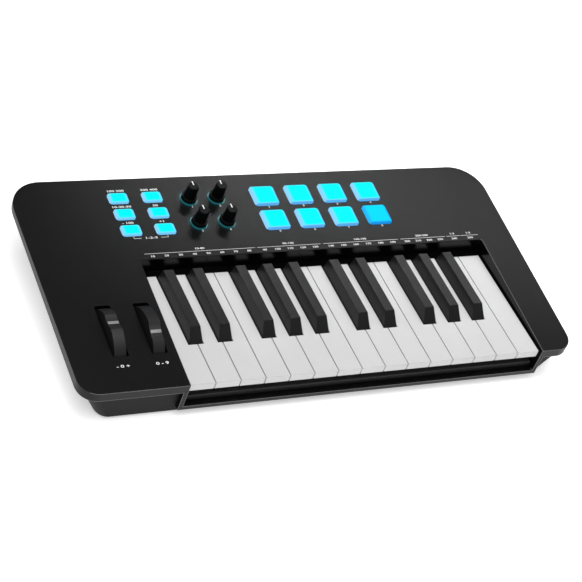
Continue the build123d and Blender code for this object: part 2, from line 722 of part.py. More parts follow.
def knob(x, s):
    """A knob with a ribbed skirt and a pointer groove, and its steel shaft."""
    skirt_top = KNOB_LIFT + KNOB_SKIRT_H
    body = Pos(0, 0, KNOB_LIFT) * Cylinder(KNOB_SKIRT_R - 0.4, KNOB_SKIRT_H, align=FROM_FOOT)
    for index in range(KNOB_RIBS):
        rib = Pos(KNOB_SKIRT_R - 0.8, 0, KNOB_LIFT) * Box(1.6, 0.9, KNOB_SKIRT_H - 0.4, align=FROM_FOOT)
        body += Rot(0, 0, 360 * index / KNOB_RIBS) * rib
    tower = Cone(KNOB_R, KNOB_TOP_R, KNOB_H - KNOB_SKIRT_H, align=FROM_FOOT)
    tower = chamfer(tower.faces().sort_by(Axis.Z)[-1].edges(), 0.5)
    body += Pos(0, 0, skirt_top) * tower
    top = KNOB_LIFT + KNOB_H
    groove = Box(POINTER_W, KNOB_R, POINTER_DEPTH, align=(Align.CENTER, Align.MIN, Align.MAX))
    body -= Pos(0, 0.6, top) * groove
    shaft_top = top - 3
    bore_z = KNOB_LIFT - 1
    body -= Pos(0, 0, bore_z) * Cylinder(SHAFT_R, shaft_top - bore_z, align=FROM_FOOT)
    shaft_z = -BOARD_DROP + 2
    shaft = Pos(0, 0, shaft_z) * Cylinder(SHAFT_R, shaft_top - shaft_z, align=FROM_FOOT)
    return Compound([on_panel(x, s, 0, body), on_panel(x, s, 0, shaft)])


def knob_light_rings():
    """A clear ring round each knob's foot, flanged under the panel."""
    bottom = -PANEL_T - SCREW_CLEAR
    ring = Pos(0, 0, bottom) * Cylinder(RING_R, RING_RISE - bottom, align=FROM_FOOT)
    ring += Pos(0, 0, bottom - 0.8) * Cylinder(RING_R + 1.2, 0.8, align=FROM_FOOT)
    ring -= Cylinder(SHAFT_R + SLIDE_CLEAR, 4 * BOARD_DROP)
    return Compound([on_panel(x, s, 0, ring) for x, s in knob_places()])


def knob_pots():
    """The four turning controls' bodies on the board."""
    height = BOARD_DROP - PANEL_T - 1.2
    body = Pos(0, 0, -BOARD_DROP) * Box(3.4 * SHAFT_R, 3.4 * SHAFT_R, height, align=FROM_FOOT)
    body -= Pos(0, 0, 1.7 - BOARD_DROP) * Cylinder(SHAFT_R + RUN_CLEAR, height, align=FROM_FOOT)
    return Compound([on_panel(x, s, 0, body) for x, s in knob_places()])


def control_board():
    """The circuit board under the pads, knobs and buttons, notched round the case posts."""
    last_x, back_s = pad_places()[PAD_COLS - 1]
    x0 = BUTTON_X - BUTTON_W
    x1 = last_x + PAD_W
    s0 = BUTTON_S - BUTTON_D
    s1 = back_s + PAD_D / 2 + 3
    plate = on_panel(0, 0, 0, block(x0, x1, s0, s1, -BOARD_DROP - BOARD_T, -BOARD_DROP))
    for x, y in case_screw_places():
        plate -= Pos(x, y, panel_z(y)) * Cylinder(BOSS_R + SLIDE_CLEAR, 4 * BOARD_DROP)
    return plate


# ---- Wheels ----
def wheel(x, lean):
    """A thumb wheel: a half disc on a hub, with a finger notch in its rim."""
    rim = [(0, 0)]
    turn = math.radians(WHEEL_HALF_ARC)
    low = (-WHEEL_R * math.sin(turn), WHEEL_R * math.cos(turn))
    high = (WHEEL_R * math.sin(turn), WHEEL_R * math.cos(turn))
    edges = [Line(rim[0], low), ThreePointArc(low, (0, WHEEL_R), high), Line(high, rim[0])]
    face = make_face(edges) + Circle(WHEEL_HUB_R) - Circle(AXLE_R + RUN_CLEAR)
    face -= Pos(0, WHEEL_R - NOTCH_DEPTH + NOTCH_R) * Circle(NOTCH_R)
    body = along_x(face, -WHEEL_W / 2, WHEEL_W / 2)
    return Pos(x, FRONT + WHEEL_Y, WHEEL_Z) * Rot(lean, 0, 0) * body


def wheel_bracket():
    """The bracket on the floor that holds both wheels' axle, and the axle."""
    y = FRONT + WHEEL_Y
    z_top = WHEEL_Z + 2.5 * AXLE_R
    middles = list(wheel_places().values())
    reach = WHEEL_W / 2 + 2 * SLIDE_CLEAR + BRACKET_T / 2
    sides = [middle + side * reach for middle in middles for side in (-1, 1)]
    x0 = sides[0] - BRACKET_T / 2
    x1 = sides[-1] + BRACKET_T / 2
    half = BRACKET_D / 2
    bracket = block(x0, x1, y - half, y + half, HULL_FLOOR_Z, HULL_FLOOR_Z + 2)
    for x in sides:
        bracket += block(x - BRACKET_T / 2, x + BRACKET_T / 2, y - half, y + half, HULL_FLOOR_Z, z_top)
    hole = Cylinder(AXLE_R + RUN_CLEAR, CASE_W, rotation=(0, 90, 0))
    bracket -= Pos(0, y, WHEEL_Z) * hole
    axle = Cylinder(AXLE_R, x1 - x0 + 2, rotation=(0, 90, 0))
    return Compound([bracket, Pos((x0 + x1) / 2, y, WHEEL_Z) * axle])


# ---- Feet and screws ----
def feet():
    """Four round rubber feet."""
    x = CASE_W / 2 - FOOT_INSET_X
    y = CASE_D / 2 - FOOT_INSET_Y
    foot = Cylinder(FOOT_R, FOOT_H, align=FROM_FOOT)
    return Compound([Pos(side * x, end * y, 0) * foot for side in (-1, 1) for end in (-1, 1)])


def screws():
    """The countersunk screws through the floor."""
    head = Pos(0, 0, 0.4) * Cylinder(SCREW_HEAD_R, SCREW_HEAD_H - 0.4, align=FROM_FOOT)
    screw = head + Cylinder(SCREW_R, SCREW_LENGTH, align=FROM_FOOT)
    screw -= Cylinder(0.9, 2)
    places = case_screw_places() + chassis_screw_places()
    return Compound([Pos(x, y, HULL_BOTTOM_Z) * screw for x, y in places])


def build():
    """Every node of the keyboard, by name."""
    nodes = {
        "top_case": top_case(),
        "bottom_case": bottom_case(),
        "keybed_chassis": keybed_chassis(),
        "key_pivot_rod": key_pivot_rod(),
        "key_springs": key_springs(),
        "key_felts": key_felts(),
        "contact_board": contact_board(),
        "contact_rubber": contact_rubber(),
        "control_board": control_board(),
        "knob_light_rings": knob_light_rings(),
        "knob_pots": knob_pots(),
        "wheel_bracket": wheel_bracket(),
        "rear_sockets": rear_sockets(),
        "feet": feet(),
        "case_screws": screws(),
    }
    places = wheel_places()
    nodes["pitch_wheel"] = wheel(places["pitch_wheel"], 0)
    nodes["mod_wheel"] = wheel(places["mod_wheel"], WHEEL_SWING)
    for number, (x, s) in enumerate(knob_places(), 1):
        nodes[f"knob_{number}"] = knob(x, s)
    for number, (x, s) in enumerate(pad_places(), 1):
        nodes[f"pad_{number}"] = pad(x, s)
    for number, (x, s) in enumerate(button_places(), 1):
        nodes[f"button_{number}"] = button(x, s)
    for index in range(WHITE_COUNT):
        nodes[f"white_key_{index + 1:02d}"] = white_key(index)
    for number, centre in enumerate(black_centres(), 1):
        nodes[f"black_key_{number:02d}"] = black_key(centre)
    return nodes


os.makedirs("parts", exist_ok=True)
for name, shape in build().items():
    export_step(shape, f"parts/{name}.step")
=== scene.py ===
import json
import math

import bmesh
import bpy
from mathutils import Matrix, Quaternion, Vector


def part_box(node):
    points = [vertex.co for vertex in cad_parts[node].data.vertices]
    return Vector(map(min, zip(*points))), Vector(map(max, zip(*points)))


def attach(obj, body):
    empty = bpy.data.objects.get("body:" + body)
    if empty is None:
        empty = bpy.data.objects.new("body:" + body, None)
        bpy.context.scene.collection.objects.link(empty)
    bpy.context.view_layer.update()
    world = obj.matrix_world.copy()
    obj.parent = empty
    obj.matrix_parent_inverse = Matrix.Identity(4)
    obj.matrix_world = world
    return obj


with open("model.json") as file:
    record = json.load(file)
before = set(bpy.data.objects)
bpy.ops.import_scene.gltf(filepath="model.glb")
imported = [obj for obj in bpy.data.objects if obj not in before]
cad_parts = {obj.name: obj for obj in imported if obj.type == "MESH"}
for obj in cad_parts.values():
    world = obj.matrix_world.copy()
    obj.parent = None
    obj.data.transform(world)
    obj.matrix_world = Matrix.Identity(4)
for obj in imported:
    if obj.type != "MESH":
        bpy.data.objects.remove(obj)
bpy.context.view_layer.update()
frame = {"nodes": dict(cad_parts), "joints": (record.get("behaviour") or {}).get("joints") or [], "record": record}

# ---- Places, all worked out from the frame, in metres ----
JOINTS = {joint["name"]: joint for joint in frame["joints"]}
PANEL_NORMAL = Vector(JOINTS["knob_1_turn"]["axis"]).normalized()
PANEL_POINT = Vector(JOINTS["knob_1_turn"]["pos_m"])
ACROSS = Vector((1, 0, 0))
UP_SLOPE = PANEL_NORMAL.cross(ACROSS)
PAD_COUNT = 8
KNOB_COUNT = 4

# ---- Printed marks, in metres ----
PRINT_RISE = 0.00006
PRINT_DEPTH = 0.00004
FONT_SIZE_PER_HEIGHT = 1.38
FONT_WEIGHT = 0.035
MARK_H = 0.0020
MARK_WIDEN = 1.3
PAD_MARK_SHIFT = 0.0003
PAD_MARK_DROP = 0.0136
KNOB_MARK_SHIFT = 0.0006
KNOB_MARK_DROP = 0.0096
BUTTON_MARKS = ["100 200", "300 400", "10-20-30", "50", "- 100", "+1"]
BUTTON_MARK_H = 0.0022
BUTTON_MARK_GAP = 0.0013
BUTTON_MARK_WIDEN = 1.7
BRACKET_DROP = 0.0094
BRACKET_H = 0.0022
BRACKET_GAP = 0.0095
BRACKET_LINE = 0.0004
BRACKET_MARK_WIDEN = 1.9
RULE_GROUPS = [
    (8, 0.0045, 0.1119),
    (5, 0.1144, 0.1791),
    (6, 0.1824, 0.2617),
    (4, 0.2650, 0.3140),
    (1, 0.3163, 0.3310),
    (1, 0.3321, 0.3517),
]
RULE_DROP = 0.0068
RULE_LINE = 0.00036
RULE_TITLE_RISE = 0.0029
RULE_MARK_DROP = 0.0031
RULE_WIDEN = 1.5
WHEEL_SIGN_H = 0.0028
WHEEL_SIGN_SHIFT = -0.0015
WHEEL_SIGN_DROP = 0.0062
WHEEL_SIGN_WIDEN = 1.6

# ---- Inlays, and the bars that paint the wheel notches' reflection, in metres ----
POINTER_SIZE = (0.0011, 0.0043, 0.0007)
POINTER_SINK = 0.00038
POINTER_OUT = 0.0033
POINTER_ROUND = 0.0001
BAND_SIDE_GAP = 0.0004
BAND_L = 0.0030
BAND_T = 0.0009
BAND_LIFT = 0.0001
BAND_ROUND = 0.00025
NOTCH_NEAR = 0.002
NOTCH_OVER_HUB = 0.015

# ---- Case looks, in metres and shares ----
GLOW_NEAR = 0.0065
GLOW_FAR = 0.0135
GLOW_LEVEL = 0.04
GLOW_COLOUR = (0.02, 0.55, 0.62)
# The paler edge line is a painted highlight along the front lip, the key rim and the recess's treble side.
EDGE_ZONE = 0.0030
EDGE_START = 0.0004
EDGE_R = 0.0010
EDGE_HIGHLIGHT_TONE = 0.22
POLISH_SIDE = 0.0022
POLISH_BACK = 0.004
POLISH = 0.27


def middle_of(node):
    """The middle of a CAD node's box."""
    low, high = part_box(node)
    return (Vector(low) + Vector(high)) / 2


def on_panel(x, y, rise=0.0):
    """The point of the panel's face at a place in plan, raised along the face's normal."""
    fall = PANEL_NORMAL.y * (y - PANEL_POINT.y) / PANEL_NORMAL.z
    return Vector((x, y, PANEL_POINT.z - fall)) + PANEL_NORMAL * rise


def panel_matrix(point):
    """A frame on the panel: x across, y up the slope, z out of the face."""
    turn = Matrix((ACROSS, UP_SLOPE, PANEL_NORMAL)).transposed().to_4x4()
    return Matrix.Translation(point) @ turn


# ---- Material building ----
class Nodes:
    """A material's node tree with short ways to add to it."""

    def __init__(self, name):
        self.material = bpy.data.materials.new(name)
        self.material.use_nodes = True
        self.tree = self.material.node_tree
        self.shader = self.tree.nodes["Principled BSDF"]
        self.place = self.add("ShaderNodeTexCoord").outputs["Object"]

    def add(self, kind, **settings):
        node = self.tree.nodes.new(kind)
        for key, value in settings.items():
            setattr(node, key, value)
        return node

    def link(self, output, socket):
        self.tree.links.new(output, socket)

    def noise(self, scale, detail=3.0, stretch=None):
        """Fractal noise on the object's own coordinates, in cycles per metre."""
        source = self.place
        if stretch:
            mapping = self.add("ShaderNodeMapping")
            mapping.inputs["Scale"].default_value = stretch
            self.link(self.place, mapping.inputs["Vector"])
            source = mapping.outputs["Vector"]
        node = self.add("ShaderNodeTexNoise")
        node.inputs["Scale"].default_value = scale
        node.inputs["Detail"].default_value = detail
        self.link(source, node.inputs["Vector"])
        return node.outputs["Fac"]

    def ramp(self, factor, low, high, start=0.3, end=0.7):
        """A blend between two colours or grey levels."""
        node = self.add("ShaderNodeValToRGB")
        first, last = node.color_ramp.elements
        first.position = start
        last.position = end
        first.color = colour(low)
        last.color = colour(high)
        self.link(factor, node.inputs["Fac"])
        return node.outputs["Color"]

    def rounded(self, radius):
        """Normals that turn smoothly over every edge, as a moulding's do."""
        node = self.add("ShaderNodeBevel", samples=6)
        node.inputs["Radius"].default_value = radius
        return node.outputs["Normal"]

    def bump(self, height, distance, strength=1.0, after=None):
        """A bump from a height, in metres, stacked on an earlier one."""
        node = self.add("ShaderNodeBump")
        node.inputs["Distance"].default_value = distance
        node.inputs["Strength"].default_value = strength
        self.link(height, node.inputs["Height"])
        if after:
            self.link(after, node.inputs["Normal"])
        return node.outputs["Normal"]

    def maths(self, operation, first, second=None):
        """One maths node on sockets or numbers."""
        node = self.add("ShaderNodeMath", operation=operation)
        for socket, value in zip(node.inputs, (first, second)):
            if isinstance(value, (int, float)):
                socket.default_value = value
            elif value is not None:
                self.link(value, socket)
        return node.outputs["Value"]

    def set(self, **values):
        """Plain numbers and colours on the shader's own sockets."""
        for key, value in values.items():
            name = key.replace("_", " ")
            socket = self.shader.inputs[name]
            socket.default_value = colour(value) if socket.type == "RGBA" else value

    def drive(self, name, output):
        """A texture on one of the shader's sockets."""
        self.link(output, self.shader.inputs[name])


def colour(value):
    """A grey level or an RGB triple as RGBA."""
    if isinstance(value, (int, float)):
        return (value, value, value, 1.0)
    return (*value[:3], 1.0)


def moulded(name, tone, spread, grain, depth, rough, rough_spread, specular=0.5, edge=0.0004):
    """Moulded plastic: a spark-eroded grain, cloudy tone, uneven gloss and rounded edges."""
    m = Nodes(name)
    cloud = m.noise(38.0, 4.0)
    fine = m.noise(grain, 2.0)
    low = [channel * (1 - spread) for channel in colour(tone)[:3]]
    high = [channel * (1 + spread) for channel in colour(tone)[:3]]
    m.drive("Base Color", m.ramp(cloud, low, high))
    gloss = m.noise(grain * 0.4, 3.0)
    m.drive("Roughness", m.ramp(gloss, rough - rough_spread, rough + rough_spread))
    m.drive("Normal", m.bump(fine, depth, after=m.rounded(edge)))
    m.set(Specular_IOR_Level=specular)
    return m


# ---- Materials ----
def knob_glow(m):
    """The light that the rings spill on the panel, falling off round each knob."""
    total = None
    for number in range(1, KNOB_COUNT + 1):
        away = m.add("ShaderNodeVectorMath", operation="DISTANCE")
        away.inputs[1].default_value = Vector(JOINTS[f"knob_{number}_turn"]["pos_m"])
        m.link(m.place, away.inputs[0])
        fade = m.add("ShaderNodeMapRange", interpolation_type="SMOOTHERSTEP")
        fade.inputs["From Min"].default_value = GLOW_NEAR
        fade.inputs["From Max"].default_value = GLOW_FAR
        fade.inputs["To Min"].default_value = 1.0
        fade.inputs["To Max"].default_value = 0.0
        m.link(away.outputs["Value"], fade.inputs["Value"])
        level = fade.outputs["Result"]
        total = level if total is None else m.maths("MAXIMUM", total, level)
    return total


def above(m, channel, level, blend=0.0003):
    """1 where a coordinate is over a level and 0 below it, with a short blend."""
    split = m.add("ShaderNodeSeparateXYZ")
    m.link(m.place, split.inputs["Vector"])
    step = m.add("ShaderNodeMapRange")
    step.inputs["From Min"].default_value = level - blend
    step.inputs["From Max"].default_value = level + blend
    m.link(split.outputs[channel], step.inputs["Value"])
    return step.outputs["Result"]


def panel_drop(m):
    """How far a point lies below the panel's face, in metres."""
    away = m.add("ShaderNodeVectorMath", operation="SUBTRACT")
    away.inputs[1].default_value = PANEL_POINT
    m.link(m.place, away.inputs[0])
    depth = m.add("ShaderNodeVectorMath", operation="DOT_PRODUCT")
    depth.inputs[1].default_value = -PANEL_NORMAL
    m.link(away.outputs["Vector"], depth.inputs[0])
    return depth.outputs["Value"]


def edge_line(m, radius):
    """1 on a narrow line along every edge and 0 on flat faces."""
    flat = m.add("ShaderNodeNewGeometry").outputs["True Normal"]
    turned = m.add("ShaderNodeVectorMath", operation="DOT_PRODUCT")
    m.link(m.rounded(radius), turned.inputs[0])
    m.link(flat, turned.inputs[1])
    line = m.add("ShaderNodeMapRange")
    line.inputs["From Min"].default_value = 0.99
    line.inputs["From Max"].default_value = 0.90
    m.link(turned.outputs["Value"], line.inputs["Value"])
    return line.outputs["Result"]


def worn_edges(m):
    """A painted highlight: the paler line along the front lip, the key rim and the treble side of the key recess.
    """
    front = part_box("top_case")[0][1]
    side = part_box("white_key_15")[1][0]
    at_front = m.maths("SUBTRACT", 1.0, above(m, "Y", front + EDGE_ZONE))
    past = m.maths("SUBTRACT", 1.0, above(m, "X", side + EDGE_ZONE))
    near = m.add("ShaderNodeMapRange")
    near.inputs["From Min"].default_value = 0.0012
    near.inputs["From Max"].default_value = 0.0007
    m.link(panel_drop(m), near.inputs["Value"])
    beside = m.maths("MULTIPLY", above(m, "X", side + EDGE_START), past)
    at_side = m.maths("MULTIPLY", beside, near.outputs["Result"])
    where = m.maths("MAXIMUM", at_front, at_side)
    return m.maths("MULTIPLY", where, edge_line(m, EDGE_R))


def case_material():
    """Satin black case plastic, polished inside the key recess, lit by the knobs' rings, with a painted highlight
    along its front and treble edges.
    """
    tone = (0.0019, 0.0019, 0.0021)
    m = moulded("case_plastic", tone, 0.10, 2600.0, 0.00005, 0.361, 0.03, 0.23, 0.0007)
    key_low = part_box("white_key_01")[0]
    last_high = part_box("white_key_15")[1]
    inside = m.add("ShaderNodeMath", operation="MULTIPLY", use_clamp=True)
    m.link(above(m, "X", key_low[0] - POLISH_SIDE), inside.inputs[0])
    beyond = m.maths("SUBTRACT", 1.0, above(m, "X", last_high[0] + POLISH_SIDE))
    m.link(beyond, inside.inputs[1])
    drop = m.add("ShaderNodeMapRange")
    drop.inputs["From Min"].default_value = 0.0006
    drop.inputs["From Max"].default_value = 0.0012
    m.link(panel_drop(m), drop.inputs["Value"])
    behind = above(m, "Y", key_low[1] + POLISH_BACK)
    sunk = m.maths("MULTIPLY", inside.outputs["Value"], drop.outputs["Result"])
    polish = m.maths("MULTIPLY", sunk, behind)
    rough = m.shader.inputs["Roughness"].links[0].from_socket
    m.drive("Roughness", m.maths("SUBTRACT", rough, m.maths("MULTIPLY", polish, POLISH)))
    plain = m.shader.inputs["Base Color"].links[0].from_socket
    # Painted highlight: a paler base colour along the front lip, the key rim and the recess's treble side.
    edge_highlight_mix = m.add("ShaderNodeMix", data_type="RGBA")
    edge_highlight_mix.inputs["B"].default_value = colour(EDGE_HIGHLIGHT_TONE)
    m.link(plain, edge_highlight_mix.inputs["A"])
    m.link(worn_edges(m), edge_highlight_mix.inputs["Factor"])
    m.drive("Base Color", edge_highlight_mix.outputs["Result"])
    m.set(Emission_Color=GLOW_COLOUR)
    m.drive("Emission Strength", m.maths("MULTIPLY", knob_glow(m), GLOW_LEVEL))
    return m.material


def shell_material():
    """The lower shell's plain black plastic."""
    tone = (0.0038, 0.0038, 0.0039)
    return moulded("shell_plastic", tone, 0.10, 2200.0, 0.00006, 0.50, 0.05, 0.16).material


def white_key_material():
    """Semi-gloss key plastic with a faint mottle and streaks of wear in its gloss."""
    m = Nodes("white_key_plastic")
    m.drive("Base Color", m.ramp(m.noise(22.0, 4.0), 0.64, 0.675))
    rub = m.noise(60.0, 5.0, (8.0, 1.0, 1.0))
    m.drive("Roughness", m.ramp(rub, 0.30, 0.40))
    m.drive("Normal", m.bump(m.noise(900.0, 2.0), 0.00001, after=m.rounded(0.0006)))
    m.set(Specular_IOR_Level=0.45)
    return m.material


def black_key_material():
    """Finely grained black key plastic."""
    tone = (0.009, 0.009, 0.0095)
    return moulded("black_key_plastic", tone, 0.14, 3200.0, 0.00006, 0.36, 0.05, 0.36).material


def knob_material():
    """Near-black satin plastic."""
    tone = (0.0016, 0.0016, 0.0018)
    return moulded("knob_plastic", tone, 0.12, 2400.0, 0.00004, 0.40, 0.06, 0.12).material


def wheel_material():
    """The wheels' matt rubber coat."""
    tone = (0.012, 0.012, 0.0125)
    return moulded("wheel_rubber", tone, 0.14, 2600.0, 0.00005, 0.45, 0.06, 0.4).material


def lit_material(name, core, edge, shade, border, flange, shading=1.0):
    """A cap lit from below: bright in the middle, paler on its bevel, darker at one corner. The paler band is the
    cap's glow, and its extra width at the pads' left is a painted reflection of the studio light.

    The border gives the paler band's share of the width at the left, right, back and front. The
    flange is the share of the node's box that its hidden flange takes at each side and each end.
    """
    m = Nodes(name)
    box = m.add("ShaderNodeTexCoord").outputs["Generated"]
    split = m.add("ShaderNodeSeparateXYZ")
    m.link(box, split.inputs["Vector"])
    seen = []
    for channel, hidden in zip("XY", flange):
        part = m.add("ShaderNodeMapRange", clamp=False)
        part.inputs["From Min"].default_value = hidden
        part.inputs["From Max"].default_value = 1.0 - hidden
        m.link(split.outputs[channel], part.inputs["Value"])
        seen.append(part.outputs["Result"])
    across, along = seen
    left, right, back, front = border
    bands = [
        m.ramp(across, 1.0, 0.0, 0.05, 0.05 + left),
        m.ramp(across, 0.0, 1.0, 0.95 - right, 0.97),
        m.ramp(along, 0.0, 1.0, 0.96 - back, 0.98),
        m.ramp(along, 1.0, 0.0, 0.04, 0.04 + front),
    ]
    glow_and_reflection_band = bands[0]
    for band in bands[1:]:
        glow_and_reflection_band = m.maths("MAXIMUM", glow_and_reflection_band, m.maths("MULTIPLY", band, 0.85))
    treble = m.ramp(across, 0.0, 1.0, 0.93, 0.985)
    dark = m.maths("MULTIPLY", treble, m.ramp(along, 1.0, 0.15, 0.3, 0.9))
    rim = m.maths("MULTIPLY", m.ramp(along, 1.0, 0.0, 0.015, 0.05), 0.75)
    dark = m.maths("MAXIMUM", dark, rim)
    first = m.add("ShaderNodeMix", data_type="RGBA")
    first.inputs["A"].default_value = colour(core)
    first.inputs["B"].default_value = colour(edge)
    m.link(m.maths("MULTIPLY", glow_and_reflection_band, 0.9), first.inputs["Factor"])
    second = m.add("ShaderNodeMix", data_type="RGBA")
    second.inputs["B"].default_value = colour(shade)
    m.link(first.outputs["Result"], second.inputs["A"])
    m.link(m.maths("MULTIPLY", dark, shading), second.inputs["Factor"])
    mottle = m.noise(160.0, 3.0)
    m.drive("Emission Color", second.outputs["Result"])
    m.drive("Base Color", m.ramp(mottle, (0.0, 0.02, 0.025), (0.0, 0.03, 0.035)))
    m.drive("Roughness", m.ramp(mottle, 0.55, 0.65))
    m.drive("Normal", m.bump(m.noise(1500.0, 2.0), 0.00002, after=m.rounded(0.0006)))
    m.set(Emission_Strength=1.0, Specular_IOR_Level=0.05)
    return m.material


def flange_of(node):
    """The share of a cap's box taken by its hidden flange, across and along."""
    points = [vertex.co for vertex in frame["nodes"][node].data.vertices]
    low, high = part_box(node)
    centre = middle_of(node)
    rise = [(point - PANEL_POINT).dot(PANEL_NORMAL) for point in points]
    seen = [point for point, height in zip(points, rise) if height > 0.0001]
    wide = max(point.x for point in seen) - centre.x
    deep = (max(point.y for point in seen) - min(point.y for point in seen)) / 2
    across = 0.5 - wide / (high[0] - low[0])
    along = 0.5 - deep / (high[1] - low[1])
    return across, along


def ring_material():
    """The clear ring round a knob's foot, lit dimly."""
    m = Nodes("ring_plastic")
    m.drive("Base Color", m.ramp(m.noise(500.0), (0.01, 0.07, 0.08), (0.012, 0.09, 0.10)))
    m.drive("Roughness", m.ramp(m.noise(900.0), 0.25, 0.35))
    m.set(Emission_Color=(0.02, 0.50, 0.58), Emission_Strength=0.10)
    return m.material


def print_material():
    """White pad-printed ink."""
    m = Nodes("inlay_plastic")
    m.drive("Base Color", m.ramp(m.noise(1200.0), 0.76, 0.86))
    m.drive("Roughness", m.ramp(m.noise(2500.0), 0.5, 0.62))
    return m.material


def inlay_material(name, tone, glow):
    """Pale plastic for the knobs' pointer inlays, whose emission is a painted glow, and for the wheels' notch
    bars, which are a painted reflection.
    """
    m = Nodes(name)
    m.drive("Base Color", m.ramp(m.noise(300.0), tone * 0.95, tone * 1.05))
    m.drive("Roughness", m.ramp(m.noise(900.0), 0.32, 0.42))
    m.set(Emission_Color=(1.0, 1.0, 1.0), Emission_Strength=glow)
    return m.material


def metal_material(name, tone, rough):
    """Plated steel, brushed along the width."""
    m = Nodes(name)
    streak = m.noise(400.0, 4.0, (0.1, 4.0, 4.0))
    m.drive("Base Color", m.ramp(streak, [c * 0.85 for c in colour(tone)[:3]], tone))
    m.drive("Roughness", m.ramp(streak, rough, rough + 0.12))
    m.drive("Normal", m.bump(streak, 0.00001))
    m.set(Metallic=1.0)
    return m.material


def felt_material():
    """Dark woven felt."""
    m = Nodes("key_felt")
    fuzz = m.noise(3000.0, 5.0)
    m.drive("Base Color", m.ramp(fuzz, (0.006, 0.006, 0.007), (0.016, 0.016, 0.017)))
    m.drive("Normal", m.bump(fuzz, 0.0002))
    m.set(Roughness=0.95, Sheen_Weight=0.2)
    return m.material


def board_material():
    """Green solder mask over a weave."""
    m = Nodes("circuit_board")
    weave = m.add("ShaderNodeTexBrick")
    weave.inputs["Scale"].default_value = 300.0
    weave.inputs["Color1"].default_value = colour((0.004, 0.035, 0.015))
    weave.inputs["Color2"].default_value = colour((0.005, 0.042, 0.018))
    weave.inputs["Mortar"].default_value = colour((0.008, 0.060, 0.026))
    m.link(m.place, weave.inputs["Vector"])
    m.drive("Base Color", weave.outputs["Color"])
    m.drive("Roughness", m.ramp(m.noise(600.0), 0.3, 0.42))
    return m.material


def dress_nodes(materials):
    """Gives every CAD node its material by its slot in the record."""
    slot_of = {row["node"]: row["material_slot"] for row in frame["record"]["subparts"]}
    for name, node in frame["nodes"].items():
        material = materials[slot_of[name]]
        if name == "bottom_case":
            material = materials["shell"]
        if name == "pad_8":
            material = materials["pad_dim"]
        node.data.materials.clear()
        node.data.materials.append(material)


# ---- Pieces ----
def mesh_piece(name, mesh, material, body):
    """A finished piece in the scene, riding on a body."""
    piece = bpy.data.objects.new(name, mesh)
    bpy.context.scene.collection.objects.link(piece)
    mesh.materials.clear()
    mesh.materials.append(material)
    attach(piece, body)
    return piece


def lettering(name, text, height, point, material, widen=1.0):
    """Thin printed characters lying on the panel."""
    curve = bpy.data.curves.new(name, "FONT")
    curve.body = text
    curve.size = height * FONT_SIZE_PER_HEIGHT
    curve.align_x = "CENTER"
    curve.align_y = "CENTER"
    curve.extrude = PRINT_DEPTH / 2
    curve.offset = height * FONT_WEIGHT
    curve.resolution_u = 3
    flat = bpy.data.objects.new(name, curve)
    bpy.context.scene.collection.objects.link(flat)
    mesh = bpy.data.meshes.new_from_object(flat)
    bpy.data.objects.remove(flat)
    mesh.transform(panel_matrix(point) @ Matrix.Diagonal((widen, 1.0, 1.0, 1.0)))
    return mesh_piece(name, mesh, material, "case")


def stripes(name, runs, width, material):
    """Thin printed lines: each run is a list of panel points joined end to end."""
    work = bmesh.new()
    for run in runs:
        for start, end in zip(run, run[1:]):
            along = (end - start).normalized()
            side = PANEL_NORMAL.cross(along) * (width / 2)
            stretch = along * (width / 2)
            first = start - stretch
            last = end + stretch
            base = [first - side, last - side, last + side, first + side]
            low = [work.verts.new(corner) for corner in base]
            high = [work.verts.new(corner + PANEL_NORMAL * PRINT_DEPTH) for corner in base]
            work.faces.new(high)
            work.faces.new(low[::-1])
            for index in range(4):
                after = (index + 1) % 4
                work.faces.new((low[index], low[after], high[after], high[index]))
    bmesh.ops.recalc_face_normals(work, faces=work.faces)
    mesh = bpy.data.meshes.new(name)
    work.to_mesh(mesh)
    work.free()
    return mesh_piece(name, mesh, material, "case")


def bar(name, size, place, material, body, round_by=0.0):
    """A small bar with rounded edges, set by a matrix."""
    work = bmesh.new()
    bmesh.ops.create_cube(work, size=1.0, matrix=Matrix.Diagonal((*size, 1.0)))
    if round_by:
        edges = work.edges[:]
        bmesh.ops.bevel(work, geom=edges, offset=round_by, segments=3, affect="EDGES", profile=0.5)
    bmesh.ops.transform(work, matrix=place, verts=work.verts)
    mesh = bpy.data.meshes.new(name)
    work.to_mesh(mesh)
    work.free()
    mesh.polygons.foreach_set("use_smooth", [True] * len(mesh.polygons))
    return mesh_piece(name, mesh, material, body)


# ---- Printed marks ----
def control_numbers(material):
    """A small number in front of each pad and knob."""
    for number in range(1, PAD_COUNT + 1):
        centre = middle_of(f"pad_{number}")
        point = on_panel(centre.x + PAD_MARK_SHIFT, centre.y - PAD_MARK_DROP, PRINT_RISE)
        lettering(f"pad_mark_{number}", str(number), MARK_H, point, material, MARK_WIDEN)
    for number in range(1, KNOB_COUNT + 1):
        centre = Vector(JOINTS[f"knob_{number}_turn"]["pos_m"])
        point = on_panel(centre.x + KNOB_MARK_SHIFT, centre.y - KNOB_MARK_DROP, PRINT_RISE)
        lettering(f"knob_mark_{number}", str(number), MARK_H, point, material, MARK_WIDEN)


